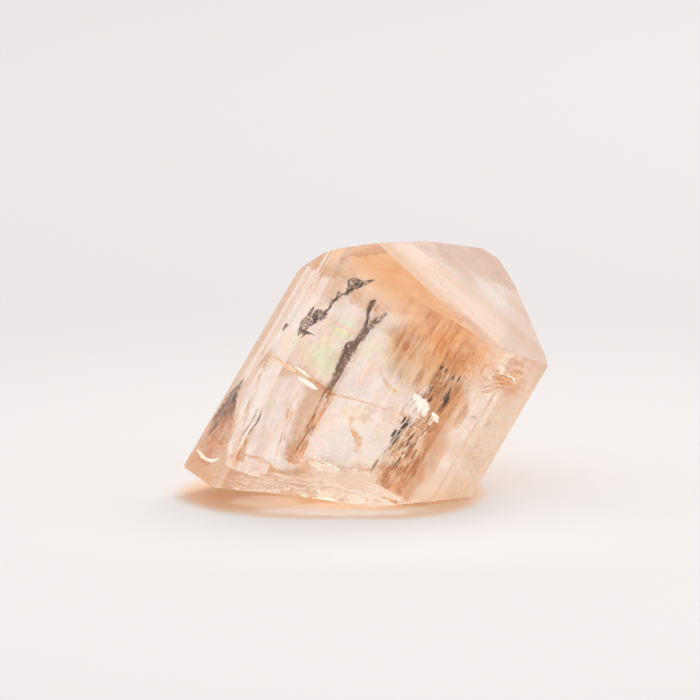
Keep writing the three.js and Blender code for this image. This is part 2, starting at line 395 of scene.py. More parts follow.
class TopazStage(bpy.types.PropertyGroup):
    floor_size: length_setting("Floor size", "Side of the square floor", 3.0)
    floor_gap: length_setting("Floor gap", "Air gap between the floor and the resting facet", 0.04 * MM)
    floor_colour: colour_setting("Floor colour", "Colour of the pale floor", (0.7, 0.68, 0.675))
    # The colour of the painted shadow on the floor, tinted as if by light through the stone.
    painted_shadow_colour: colour_setting(
        "Glow colour",
        "Colour of the floor where light has come through the stone",
        (0.82, 0.6, 0.44),
    )
    key_power: FloatProperty(
        name="Key light",
        description="Power of the large soft light above and behind the stone, to its right",
        default=0.42,
        unit="POWER",
    )
    surround: FloatProperty(
        name="Surround",
        description="Brightness of the white surroundings behind the stone",
        default=1.14,
    )
    front_share: FloatProperty(
        name="Front share",
        description="How bright the surroundings are in front of the stone, as a share of those behind it",
        default=0.6,
    )
    camera_distance: length_setting("Camera distance", "From the camera to the front face", 0.175)
    lens: FloatProperty(
        name="Lens",
        description="Focal length in millimetres",
        default=180,
    )


# Shared steps


def clear_selection():
    if bpy.context.object and bpy.context.object.mode != "OBJECT":
        bpy.ops.object.mode_set(mode="OBJECT")
    bpy.ops.object.select_all(action="DESELECT")


def make_active(piece):
    clear_selection()
    piece.select_set(True)
    bpy.context.view_layer.objects.active = piece


def start_editing(piece, action="SELECT"):
    """Opens edit mode with the whole piece selected, or nothing of it."""
    make_active(piece)
    bpy.ops.object.mode_set(mode="EDIT")
    bpy.ops.mesh.select_all(action=action)


def stop_editing():
    bpy.ops.object.mode_set(mode="OBJECT")


def apply_place():
    """Moves the place, turn and scale of what is selected into its mesh."""
    bpy.ops.object.transform_apply(location=True, rotation=True, scale=True)


def apply_modifier(piece, kind, **settings):
    make_active(piece)
    modifier = piece.modifiers.new(kind.lower(), kind)
    for name, value in settings.items():
        setattr(modifier, name, value)
    bpy.ops.object.modifier_apply(modifier=modifier.name)


def edit_points(piece, chosen):
    """Opens edit mode with the points whose place passes the test selected."""
    start_editing(piece, "DESELECT")
    bpy.ops.mesh.select_mode(type="VERT")
    stop_editing()
    for point in piece.data.vertices:
        point.select = chosen(point.co)
    bpy.ops.object.mode_set(mode="EDIT")


def delete_faces(piece, chosen):
    """Deletes the faces whose numbers are given."""
    start_editing(piece, "DESELECT")
    bpy.ops.mesh.select_mode(type="FACE")
    stop_editing()
    for number in chosen:
        piece.data.polygons[number].select = True
    bpy.ops.object.mode_set(mode="EDIT")
    bpy.ops.mesh.delete(type="FACE")
    stop_editing()


def trim(piece, point, outwards):
    """Cuts away what lies on the outer side of a plane."""
    start_editing(piece)
    bpy.ops.mesh.bisect(plane_co=point, plane_no=outwards, clear_outer=True)
    stop_editing()


def join_pieces(name, pieces):
    clear_selection()
    for piece in pieces:
        piece.select_set(True)
    bpy.context.view_layer.objects.active = pieces[0]
    bpy.ops.object.join()
    pieces[0].name = name
    return pieces[0]


def finish_piece(piece, material):
    piece.data.materials.clear()
    piece.data.materials.append(material)
    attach(piece, "root")


def set_in_stone(piece, material):
    """Moves a piece from the crystal's own frame to where the crystal lies, and finishes it."""
    piece.matrix_world = Matrix.Translation(CORNER) @ TURN.to_4x4() @ piece.matrix_world
    make_active(piece)
    apply_place()
    finish_piece(piece, material)


# Cracks, shards and films


def drawn_ribbon(name, stops, slant):
    """A narrow sheet that faces the front, drawn from stop to stop, with its width at each."""
    clear_selection()
    places = [Vector(stop[:3]) * MM for stop in stops]
    widths = [stop[3] for stop in stops]
    bpy.ops.mesh.primitive_plane_add(
        size=widths[0] * MM,
        location=places[0],
        rotation=(UPRIGHT, slant, 0),
    )
    ribbon = bpy.context.object
    ribbon.name = name
    edit_points(ribbon, lambda place: place.y > 0)
    for i in range(1, len(stops)):
        step = places[i] - places[i - 1]
        bpy.ops.mesh.extrude_region_move(TRANSFORM_OT_translate={"value": step})
        share = widths[i] / widths[i - 1]
        bpy.ops.transform.resize(value=(share, share, share), center_override=places[i])
    stop_editing()
    apply_place()
    return ribbon


def roughen(piece, spread, seed):
    """Cuts the faces up and moves the new points about, mostly sideways."""
    start_editing(piece)
    bpy.ops.mesh.subdivide(number_cuts=TEAR_CUTS, fractal=spread, fractal_along_normal=0.15, seed=seed)
    stop_editing()


def tear(piece, draw, border_share, inner_share):
    """Takes away a share of the faces along the border, and a share of those inside."""
    uses = {}
    for face in piece.data.polygons:
        for edge in face.edge_keys:
            uses[edge] = uses.get(edge, 0) + 1
    gone = []
    for face in piece.data.polygons:
        on_border = any(uses[edge] == 1 for edge in face.edge_keys)
        if draw.random() < (border_share if on_border else inner_share):
            gone.append(face.index)
    delete_faces(piece, gone)


def crack(name, stops, inside, seed, spread=1.2, border=0.3, holes=0.04, slant=0.0):
    """A crack: a drawn ribbon with torn edges and holes, given its thickness."""
    draw = random.Random(inside.seed * 100 + seed)
    ribbon = drawn_ribbon(name, stops, slant)
    roughen(ribbon, spread, seed)
    tear(ribbon, draw, border, holes)
    tear(ribbon, draw, border / 2, holes / 2)
    apply_modifier(ribbon, "SOLIDIFY", thickness=inside.crack_thickness, offset=0)
    return ribbon


def shard(name, draw):
    """A splinter one millimetre long and wide, pointed at both ends and flat from front to back."""
    clear_selection()
    bpy.ops.mesh.primitive_uv_sphere_add(segments=5, ring_count=4, radius=0.5 * MM)
    splinter = bpy.context.object
    splinter.name = name
    start_editing(splinter)
    bpy.ops.transform.resize(value=(1, SPLINTER_THINNESS, 1), center_override=(0, 0, 0))
    bpy.ops.transform.vertex_random(offset=SPLINTER_JITTER, seed=draw.randrange(1000))
    stop_editing()
    return splinter


def in_stone(place, reach):
    """Tells whether both ends of a shard lie inside the stone's planes."""
    return all(
        (tip - Vector(point)) @ Vector(outwards) < 0
        for point, outwards in INNER_LIMITS
        for tip in (place - reach, place + reach)
    )


def strew(name, inside, seed, bands):
    """Shards along bands of (count, start, end, spread, lengths, widths), but none outside the stone."""
    draw = random.Random(inside.seed * 1000 + seed)
    models = [shard(f"{name}_{i}", draw) for i in range(3)]
    copies = []
    for count, start, end, spread, lengths, widths in bands:
        start, end = Vector(start), Vector(end)
        along = (end - start).normalized()
        for _ in range(count):
            model = draw.choice(models)
            stray = Vector([draw.uniform(-reach, reach) for reach in (spread, DEPTH_STRAY, spread)])
            place = start.lerp(end, draw.random()) + stray
            wander = Vector([draw.gauss(0, amount) for amount in WANDER])
            width, length = draw.uniform(*widths), draw.uniform(*lengths)
            if not in_stone(place, length / 2 * along):
                continue
            copy = model.copy()
            copy.data = copy.data.copy()
            copy.location = place * MM
            copy.rotation_euler = (along + wander).to_track_quat("Z", "Y").to_euler()
            copy.scale = (width, width, length)
            bpy.context.scene.collection.objects.link(copy)
            copies.append(copy)
    for model in models:
        bpy.data.objects.remove(model)
    streaks = join_pieces(name, copies)
    apply_place()
    return streaks


def film(name, centre, size, inside, seed):
    """A thin, slightly wavy sheet that faces the front, trimmed to the stone. Measures are in millimetres."""
    middle = Vector(centre) * MM
    clear_selection()
    bpy.ops.mesh.primitive_grid_add(
        x_subdivisions=FILM_CELLS,
        y_subdivisions=FILM_CELLS,
        size=MM,
        location=middle,
        rotation=(UPRIGHT, 0, 0),
    )
    sheet = bpy.context.object
    sheet.name = name
    start_editing(sheet)
    bpy.ops.transform.resize(value=(size[0], 1, size[1]), center_override=middle)
    bpy.ops.mesh.subdivide(number_cuts=1, fractal=0.5, fractal_along_normal=1.0, seed=seed)
    stop_editing()
    apply_place()
    for point, outwards in INNER_LIMITS:
        trim(sheet, Vector(point) * MM, outwards)
    apply_modifier(sheet, "SOLIDIFY", thickness=inside.crack_thickness, offset=0)
    return sheet


# Shared material steps


def new_material(name):
    material = bpy.data.materials.new(name)
    material.use_nodes = True
    material.node_tree.nodes.clear()
    return material


def add(tree, kind, inputs=None, **settings):
    """A node with its settings and its inputs: a value, or a socket to link."""
    node = tree.nodes.new(kind)
    for name, value in settings.items():
        setattr(node, name, value)
    for key, value in (inputs or {}).items():
        if isinstance(value, bpy.types.NodeSocket):
            tree.links.new(value, node.inputs[key])
        else:
            node.inputs[key].default_value = value
    return node


def coat(tree, settings, depths=None):
    """The shader with its settings, and the material's output with the shader and what fills the depths."""
    shader = add(tree, "ShaderNodeBsdfPrincipled", settings)
    output = add(tree, "ShaderNodeOutputMaterial", {"Surface": shader.outputs[0]})
    if depths:
        tree.links.new(depths.outputs[0], output.inputs["Volume"])


def stone_coordinates(tree):
    """Object coordinates turned into the crystal's own frame, in millimetres."""
    coordinates = add(tree, "ShaderNodeTexCoord")
    mapping = add(tree, "ShaderNodeMapping", {"Vector": coordinates.outputs["Object"]}, vector_type="TEXTURE")
    mapping.inputs["Location"].default_value = CORNER
    mapping.inputs["Rotation"].default_value = TURN.to_euler()
    mapping.inputs["Scale"].default_value = (MM, MM, MM)
    return mapping.outputs["Vector"]


def coordinate(tree, place, name):
    return add(tree, "ShaderNodeSeparateXYZ", {"Vector": place}).outputs[name]


def maths(tree, operation, first, second):
    return add(tree, "ShaderNodeMath", {0: first, 1: second}, operation=operation).outputs[0]


def plus(tree, first, second):
    return maths(tree, "ADD", first, second)


def minus(tree, first, second):
    return maths(tree, "SUBTRACT", first, second)


def times(tree, first, second):
    return maths(tree, "MULTIPLY", first, second)


def larger(tree, first, second):
    return maths(tree, "MAXIMUM", first, second)


def fade(tree, value, low, high, to_low=0.0, to_high=1.0):
    """A value that passes softly from one level to another between two limits."""
    node = add(
        tree,
        "ShaderNodeMapRange",
        {"Value": value, "From Min": low, "From Max": high, "To Min": to_low, "To Max": to_high},
        interpolation_type="SMOOTHSTEP",
    )
    return node.outputs["Result"]


def noise(tree, vector, scale, detail=3.0, roughness=0.5, stretch=(1, 1, 1)):
    scaled = add(tree, "ShaderNodeVectorMath", {0: vector, 1: stretch}, operation="MULTIPLY")
    node = add(
        tree,
        "ShaderNodeTexNoise",
        {"Vector": scaled.outputs[0], "Scale": scale, "Detail": detail, "Roughness": roughness},
    )
    return node.outputs["Fac"]


def waver(tree, pattern, reach):
    """A pattern that swings to both sides of nothing."""
    return times(tree, minus(tree, pattern, 0.5), reach)


def bump(tree, height, distance, normal=None):
    node = add(tree, "ShaderNodeBump", {"Height": height, "Distance": distance, "Strength": 1.0})
    if normal:
        tree.links.new(normal, node.inputs["Normal"])
    return node.outputs["Normal"]


def blend_colours(tree, share, first, second):
    node = tree.nodes.new("ShaderNodeMix")
    node.data_type = "RGBA"
    for number, value in ((0, share), (6, first), (7, second)):
        if isinstance(value, bpy.types.NodeSocket):
            tree.links.new(value, node.inputs[number])
        elif number == 0:
            node.inputs[number].default_value = value
        else:
            node.inputs[number].default_value = (*value, 1)
    return node.outputs[2]


def mottle(tree, pattern, low, high, first, second):
    """One colour where a pattern is low and another where it is high."""
    return blend_colours(tree, fade(tree, pattern, low, high), first, second)


def blot(tree, place, centre, radii, wobble=0.5, edge=(1.1, 0.6)):
    """A soft patch, 1 in its middle and 0 outside. Its centre and radii are in millimetres."""
    offset = add(tree, "ShaderNodeVectorMath", {0: place, 1: centre}, operation="SUBTRACT")
    scaled = add(tree, "ShaderNodeVectorMath", {0: offset.outputs[0], 1: radii}, operation="DIVIDE")
    length = add(tree, "ShaderNodeVectorMath", {0: scaled.outputs[0]}, operation="LENGTH")
    distance = plus(tree, length.outputs["Value"], waver(tree, noise(tree, place, 0.9, 4.0), wobble * 2))
    return fade(tree, distance, *edge)


def band(tree, value, low, high, softness):
    """1 between two values and 0 outside them, with soft ends."""
    rise = fade(tree, value, low - softness, low + softness)
    fall = fade(tree, value, high + softness, high - softness)
    return times(tree, rise, fall)


def leaning_box(tree, place, sides, lean, ends, climb, softness=0.25):
    """A soft-edged parallelogram in the front plane: its left and right sides, and its foot and head."""
    x, z = coordinate(tree, place, "X"), coordinate(tree, place, "Z")
    drift = waver(tree, noise(tree, place, 0.8, 4.0), 1.2)
    across = plus(tree, plus(tree, x, times(tree, z, lean)), drift)
    up = plus(tree, minus(tree, z, times(tree, x, climb)), drift)
    return times(tree, band(tree, across, *sides, softness), band(tree, up, *ends, softness))


def marbled(tree, place, fineness, shades, stretch=(1.0, 1.0, 0.7)):
    """Shades that turn into one another along a drifting pattern."""
    drift = noise(tree, place, fineness, 3.0, 0.5, stretch)
    colour = shades[0]
    for i, shade in enumerate(shades[1:], 1):
        edge = 0.3 + 0.4 * i / len(shades)
        colour = mottle(tree, drift, edge - 0.05, edge + 0.05, colour, shade)
    return colour


def film_bands(tree, place):
    """The colours of a very thin film, side by side."""
    return marbled(tree, place, 1.5, FILM_SHADES, (0.25, 1.0, 1.6))


# The stone's material


def face_kind(tree, name):
    return add(tree, "ShaderNodeAttribute", attribute_name=name).outputs["Fac"]


def stone_relief(tree, place, stone, frost, slope, foot):
    """Growth grooves all over, grain on the frosted face, ripples on the foot and scratches on the slope."""
    grooves = noise(tree, place, 1.0, 4.0, 0.6, (4.0, 4.0, 0.05))
    normal = bump(tree, grooves, stone.groove_height)
    for pattern, share, height in (
        ((2.2, 3.0, 0.5, (1, 1, 0.6)), frost, stone.frost_height * 1.5),
        ((1.1, 4.0, 0.55, (1, 1, 2.2)), foot, stone.ripple_height * 2),
        ((1.5, 3.0, 0.5, (0.2, 2.0, 0.6)), slope, stone.frost_height * 0.5),
    ):
        relief = times(tree, noise(tree, place, *pattern), share)
        normal = bump(tree, relief, height, normal)
    return normal


def stone_roughness(tree, place, frost, slope, back):
    """Polished, but dull in patches on the frosted face, the slope and the back."""
    patches = fade(tree, noise(tree, place, 0.8, 5.0, 0.6), 0.3, 0.7, 0.2, 0.42)
    softness = fade(tree, noise(tree, place, 0.6, 4.0), 0.3, 0.7, 0.2, 0.5)
    etching = fade(tree, noise(tree, place, 0.5, 3.0), 0.3, 0.7, 0.15, 0.4)
    dulled = plus(tree, times(tree, frost, patches), times(tree, slope, softness))
    return plus(tree, dulled, plus(tree, times(tree, back, etching), POLISH))


def stone_colour(tree, place, frost, slope):
    """Nearly white, with a speckled frosted face, a banded slope, and peach zones at the edges."""
    specks = noise(tree, place, 3.2, 5.0, 0.75, (1, 1, 0.7))
    frosting = mottle(tree, specks, 0.4, 0.62, (0.97, 0.78, 0.64), (1.0, 0.93, 0.87))
    colour = blend_colours(tree, frost, (1.0, 0.99, 0.98), frosting)
    bands = noise(tree, place, 0.9, 4.0, 0.6, (0.1, 1.1, 0.4))
    banded = mottle(tree, bands, 0.4, 0.62, (0.8, 0.68, 0.6), (0.87, 0.83, 0.82))
    crest = blot(tree, place, (4.5, 2.4, 15.2), (1.7, 3.0, 1.1))
    banded = blend_colours(tree, crest, banded, (0.97, 0.95, 0.95))
    colour = blend_colours(tree, slope, colour, banded)
    toe = times(tree, frost, blot(tree, place, (12.0, 1.0, 5.0), (2.6, 4.0, 1.5)))
    colour = blend_colours(tree, toe, colour, (0.98, 0.76, 0.6))
    top = blot(tree, place, (4.2, 2.5, 13.6), (4.2, 6.0, 1.5))
    colour = blend_colours(tree, times(tree, top, minus(tree, 1.0, slope)), colour, TOP_PEACH)
    left = blot(tree, place, (0.6, 2.0, -0.2), (1.6, 3.0, 0.9))
    colour = blend_colours(tree, left, colour, (1.0, 0.82, 0.6))
    right = blot(tree, place, (7.7, 0.0, 10.6), (2.3, 0.8, 1.7))
    return blend_colours(tree, right, colour, (0.98, 0.82, 0.64))


def clear_topaz(stone):
    """Clear peach stone. Its frosted face and its slope also scatter a share of the light."""
    material = new_material("clear topaz")
    tree = material.node_tree
    place = stone_coordinates(tree)
    frost, slope, foot, back = (face_kind(tree, name) for name in ("frost", "slope", "foot", "back"))
    scatter = larger(tree, times(tree, frost, 0.2), times(tree, slope, 0.25))
    settings = {
        "Base Color": stone_colour(tree, place, frost, slope),
        "Roughness": stone_roughness(tree, place, frost, slope, back),
        "IOR": STONE_IOR,
        "Transmission Weight": minus(tree, 1.0, scatter),
        "Normal": stone_relief(tree, place, stone, frost, slope, foot),
    }
    tint = {"Color": (*stone.tint, 1), "Density": stone.tint_depth}
    coat(tree, settings, add(tree, "ShaderNodeVolumeAbsorption", tint))
    return material


# Materials inside the stone


def streaked(name, low, middle, high, fineness, stretch, alpha=1.0, glow=0.0):
    """Three colours mixed in fine streaks along the growth direction, glowing as painted light when given a
    glow.
    """
    material = new_material(name)
    tree = material.node_tree
    place = stone_coordinates(tree)
    grain = noise(tree, place, fineness, 5.0, 0.65, stretch)
    colour = mottle(tree, grain, 0.35, 0.5, low, middle)
    colour = mottle(tree, grain, 0.5, 0.65, colour, high)
    settings = {"Base Color": colour, "Roughness": 0.3, "Normal": bump(tree, grain, 0.02 * MM)}
    # A glow makes the piece shine though it is no lamp: painted light.
    if glow:
        settings["Emission Color"] = (1, 0.97, 0.94, 1)
        settings["Emission Strength"] = glow
    if alpha < 1:
        settings["Alpha"] = fade(tree, grain, 0.25, 0.75, alpha * 0.5, min(1.0, alpha * 1.5))
    coat(tree, settings)
    return material


def tinted_film(name, colour_of):
    """A film that only colours the light that passes through it."""
    material = new_material(name)
    tree = material.node_tree
    colour = colour_of(tree, stone_coordinates(tree))
    coat(tree, {"Base Color": colour, "Roughness": 0.0, "IOR": 1.0, "Transmission Weight": 1.0})
    return material


def veil_colours(tree, place):
    """Pale green, yellow, pink and lilac patches that pass into one another, clear at the edges."""
    green, yellow = (0.88, 0.97, 0.82), (0.97, 0.96, 0.82)
    pink, lilac = (1.0, 0.86, 0.87), (0.92, 0.9, 0.99)
    colour = marbled(tree, place, 0.6, (lilac, yellow, CLEAR, pink, CLEAR, green, lilac))
    for centre, radii, shade in (
        ((3.4, 3, 7.9), (1.3, 2, 0.9), green),
        ((5.8, 3, 9.2), (1.4, 2, 1.2), (0.95, 0.97, 0.82)),
        ((5.4, 3, 7.8), (1.1, 2, 0.7), lilac),
    ):
        share = times(tree, blot(tree, place, centre, radii, 1.2), 0.7)
        colour = blend_colours(tree, share, colour, shade)
    rainbow = blot(tree, place, (3.4, 3, 9.6), (0.9, 2, 0.55), 0.8)
    colour = blend_colours(tree, rainbow, colour, film_bands(tree, place))
    whole = leaning_box(tree, place, (2.3, 11.3), 0.35, (6.9, 10.9), 0.0, 0.5)
    return blend_colours(tree, whole, CLEAR, colour)


def window_haze(tree, place, left, head):
    """How dense the haze is: wispy in each window of the stone, and even above them, along the top."""
    wisps = noise(tree, place, 1.3, 5.0, 0.65, (1.6, 1, 0.5))
    middle = leaning_box(tree, place, (4.8, 8.2), 0.0, (1.1, 4.9), 0.4)
    upper = leaning_box(tree, place, (2.5, 4.35), 0.0, (6.85, 11.2), 0.0, 0.35)
    right = leaning_box(tree, place, (4.7, 13.2), 0.67, (6.8, 10.6), 0.0, 0.35)
    windows = larger(tree, middle, larger(tree, upper, right))
    haze = times(tree, windows, fade(tree, wisps, 0.3, 0.7, 0.25, 0.6))
    haze = larger(tree, haze, times(tree, left, fade(tree, wisps, 0.3, 0.7, 0.4, 0.75)))
    return larger(tree, haze, times(tree, head, 0.42))


def window_colours(tree, place, left, head):
    """Faint pastels, bluish at the left, green and banded beside the fissure, peach along the top."""
    pastels = ((0.96, 0.86, 0.8), (0.9, 0.9, 0.94), (0.92, 0.92, 0.84), (0.93, 0.87, 0.88))
    colour = marbled(tree, place, 0.5, pastels)
    colour = blend_colours(tree, times(tree, left, 0.6), colour, (0.84, 0.85, 0.89))
    green = blot(tree, place, (3.4, 2.75, 7.9), (1.2, 2, 0.9), 0.8, (1.2, 0.3))
    colour = blend_colours(tree, green, colour, (0.84, 0.93, 0.8))
    rainbow = blot(tree, place, (3.5, 2.75, 9.75), (0.9, 2, 0.5), 1.2, (1.2, 0.3))
    colour = blend_colours(tree, times(tree, rainbow, 0.7), colour, film_bands(tree, place))
    return blend_colours(tree, head, colour, TOP_PEACH)


def glowing_milky_windows():
    """Pale, faintly pastel haze that hangs in the windows of the stone and glows in its own colours: painted
    light that brightens the windows.
    """
    material = new_material("milky windows")
    tree = material.node_tree
    place = stone_coordinates(tree)
    left = leaning_box(tree, place, (2.75, 4.9), 0.28, (-0.2, 5.0), 0.6)
    head = leaning_box(tree, place, (1.6, 12.0), 0.0, (12.6, 18.0), -TOP_EDGE_FALL, 0.7)
    colour = window_colours(tree, place, left, head)
    settings = {
        "Base Color": colour,
        "Roughness": 0.4,
        "Alpha": window_haze(tree, place, left, head),
        # The haze glows though it is no lamp: painted light.
        "Emission Color": colour,
        "Emission Strength": 0.4,
    }
    coat(tree, settings)
    return material


def cloud_colours(tree, place):
    """Amber in three soft, finely streaked clouds, clear at the edges."""
    streaks = noise(tree, place, 1.6, 6.0, 0.75, (2.2, 1, 0.35))
    drift = noise(tree, place, 0.7, 3.0)
    pale = mottle(tree, drift, 0.4, 0.6, (0.98, 0.83, 0.66), (0.93, 0.66, 0.43))
    amber = mottle(tree, streaks, 0.38, 0.6, (0.6, 0.3, 0.15), pale)
    top = blot(tree, place, (7.9, 1.5, 10.9), (2.9, 4, 2.3), 0.7, (1.25, 0.3))
    right = blot(tree, place, (9.6, 1.5, 8.7), (1.1, 4, 2.4), 0.8)
    foot = blot(tree, place, (9.6, 1.5, 6.0), (1.4, 4, 2.4), 0.8)
    return blend_colours(tree, larger(tree, larger(tree, top, right), foot), CLEAR, amber)


def chip_colours(tree, place):
    """Amber that lies behind the chip in the right face, in thin layers."""
    layers = noise(tree, place, 1.4, 5.0, 0.7, (0.4, 1, 2.6))
    amber = mottle(tree, layers, 0.4, 0.6, (0.84, 0.5, 0.26), (1.0, 0.86, 0.68))
    share = blot(tree, place, (11.6, 2.4, 11.6), (1.2, 2, 0.85), 0.3)
    return blend_colours(tree, share, CLEAR, amber)


def edge_colours(tree, place):
    """Amber that deepens towards the top edge of the front face, finely streaked along it."""
    fall = times(tree, coordinate(tree, place, "X"), TOP_EDGE_FALL)
    height = plus(tree, coordinate(tree, place, "Z"), fall)
    streaks = noise(tree, place, 1.2, 6.0, 0.7, (0.7, 1, 1.6))
    amber = mottle(tree, streaks, 0.35, 0.65, (0.94, 0.82, 0.68), (1.0, 0.95, 0.88))
    share = fade(tree, plus(tree, height, waver(tree, streaks, 2.5)), 12.4, 14.2)
    return blend_colours(tree, share, CLEAR, amber)


def painted_reflection_colours(tree, place):
    """Painted reflection: dark brown hatching at the top and along the left, warm brown below."""
    hatching = noise(tree, place, 2.4, 5.0, 0.7, (2.5, 1, 0.8))
    low = mottle(tree, hatching, 0.35, 0.65, (0.78, 0.55, 0.4), (1.0, 0.9, 0.82))
    high = mottle(tree, hatching, 0.4, 0.62, (0.12, 0.08, 0.06), (0.66, 0.48, 0.38))
    lean = times(tree, coordinate(tree, place, "X"), 1.3)
    left = minus(tree, coordinate(tree, place, "Z"), lean)
    return mottle(tree, plus(tree, left, waver(tree, hatching, 1.5)), 1.0, 2.6, low, high)


def fleck_colours(tree, place):
    """Pale amber, so that flecks that lie behind one another stay light."""
    grain = noise(tree, place, 1.6, 4.0, 0.6)
    return mottle(tree, grain, 0.35, 0.65, (0.94, 0.72, 0.52), (1.0, 0.9, 0.8))


def line_colours(tree, place):
    """Amber lines that thin out here and there."""
    grain = noise(tree, place, 1.6, 4.0, 0.6)
    return mottle(tree, grain, 0.35, 0.65, (0.89, 0.58, 0.36), (1.0, 0.9, 0.78))


# The floor's material


def lighter(colour, share):
    return tuple(min(1.0, part * share) for part in colour)


def floor_with_painted_light(tree, place, stage):
    """The pale floor, with painted light that makes it brighter around the stone, and brightest just in front
    of it.
    """
    # Painted light: the floor's colour is brightened around the stone and just in front of it.
    painted_light_near = blot(tree, place, (0, -10, 0), (60, 60, 1), 0.0, (1.0, 0.3))
    colour = blend_colours(tree, painted_light_near, tuple(stage.floor_colour), lighter(stage.floor_colour, 1.12))
    painted_light_in_front = blot(tree, place, (0, -11.5, 0), (16, 6.5, 1), 0.0, (1.3, 0.1))
    return blend_colours(tree, painted_light_in_front, colour, lighter(stage.floor_colour, 1.2))


def painted_shadow_colours(tree, place, stage):
    """Painted shadow, tinted as if by light that has come through the stone, paler in the middle."""
    front = blot(tree, place, (-1.2, -5.6, 0), (4.6, 1.5, 1), 0.2)
    side = blot(tree, place, (-5.0, -4.0, 0), (2.0, 1.4, 1), 0.2)
    return blend_colours(tree, larger(tree, front, side), tuple(stage.painted_shadow_colour), (0.96, 0.84, 0.74))


def floor_paint(stage):
    """Pale floor, with a warm patch of painted shadow, tinted as if by light that has come through the stone.
    """
    material = new_material("pale floor")
    tree = material.node_tree
    coordinates = add(tree, "ShaderNodeTexCoord").outputs["Object"]
    millimetres = add(tree, "ShaderNodeVectorMath", {0: coordinates, 1: (1 / MM,) * 3}, operation="MULTIPLY")
    place = millimetres.outputs[0]
    # Where the painted shadow lies, under and in front of the stone.
    left = blot(tree, place, (-2.4, -2.2, 0), (7.4, 5.5, 1), 0.0, (1.05, 0.85))
    right = blot(tree, place, (0.9, -2.0, 0), (5.3, 5.8, 1), 0.0, (1.05, 0.85))
    floor = floor_with_painted_light(tree, place, stage)
    colour = blend_colours(tree, larger(tree, left, right), floor, painted_shadow_colours(tree, place, stage))
    coat(tree, {"Base Color": colour, "Roughness": 0.9, "Specular IOR Level": 0.0})
    return material


# Pieces


class TOPAZ_OT_crystal(bpy.types.Operator):
    """Build the clear crystal over the frame's solid"""

    bl_idname = "topaz.crystal"
    bl_label = "Clear crystal"

    def execute(self, context):
        stone = context.scene.topaz_stone
        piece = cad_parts["crystal"].copy()
        piece.data = piece.data.copy()
        piece.name = "clear_crystal"
        piece.parent = None
        context.scene.collection.objects.link(piece)
        start_editing(piece)
        bpy.ops.mesh.remove_doubles(threshold=MERGE_DISTANCE)
        bpy.ops.mesh.dissolve_limited(angle_limit=FLAT_ANGLE)
        stop_editing()
        apply_modifier(
            piece,
            "BEVEL",
            width=stone.edge_wear,
            segments=2,
            limit_method="ANGLE",
            angle_limit=SHARP_ANGLE,
            use_clamp_overlap=True,
        )
        apply_modifier(piece, "TRIANGULATE")
        make_active(piece)
        bpy.ops.object.shade_flat()
        self.mark_faces(piece)
        finish_piece(piece, clear_topaz(stone))
        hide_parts("crystal")
        return {"FINISHED"}

    def mark_faces(self, piece):
        """Notes on each face whether it is of each kind."""
        unturn = TURN.transposed()
        facings = [unturn @ face.normal for face in piece.data.polygons]
        for name, way, closeness in FACE_KINDS:
            attribute = piece.data.attributes.new(name, "FLOAT", "FACE")
            notes = [float(facing @ Vector(way) > closeness) for facing in facings]
            attribute.data.foreach_set("value", notes)


class TOPAZ_OT_fissure(bpy.types.Operator):
    """Build the dark forked fissure in the middle of the stone"""

    bl_idname = "topaz.fissure"
    bl_label = "Forked fissure"

    def execute(self, context):
        inside = context.scene.topaz_inside
        parts = [
            crack("stem", FISSURE_STEM, inside, 1, border=0.15, holes=0.02),
            crack("left_prong", FISSURE_LEFT_PRONG, inside, 2, border=0.2),
            crack("right_prong", FISSURE_RIGHT_PRONG, inside, 3, border=0.4, holes=0.15),
        ]
        brown, pale = (0.25, 0.17, 0.13), (0.8, 0.68, 0.58)
        material = streaked("fissure", inside.dark, brown, pale, 3.5, (2.5, 1, 0.6))
        set_in_stone(join_pieces("forked_fissure", parts), material)
        return {"FINISHED"}


class TOPAZ_OT_ragged_crack(bpy.types.Operator):
    """Build the ragged dark crack at the upper left and the hair crack below it"""

    bl_idname = "topaz.ragged_crack"
    bl_label = "Ragged crack"

    def execute(self, context):
        inside = context.scene.topaz_inside
        parts = [
            crack("head", ARC_HEAD, inside, 11, border=0.25),
            crack("leg", ARC_LEG, inside, 12, border=0.3),
            crack("blob", ARC_BLOB, inside, 13, border=0.25),
            crack("tail", ARC_TAIL, inside, 14),
            crack("fleck", ARC_FLECK, inside, 15),
            crack("hair", HAIR_CRACK, inside, 16, border=0.1, holes=0.0),
        ]
        brown, pale = (0.24, 0.17, 0.12), (0.85, 0.72, 0.62)
        material = streaked("ragged crack", inside.dark, brown, pale, 4.0, (1.5, 1, 1))
        set_in_stone(join_pieces("ragged_crack", parts), material)
        return {"FINISHED"}


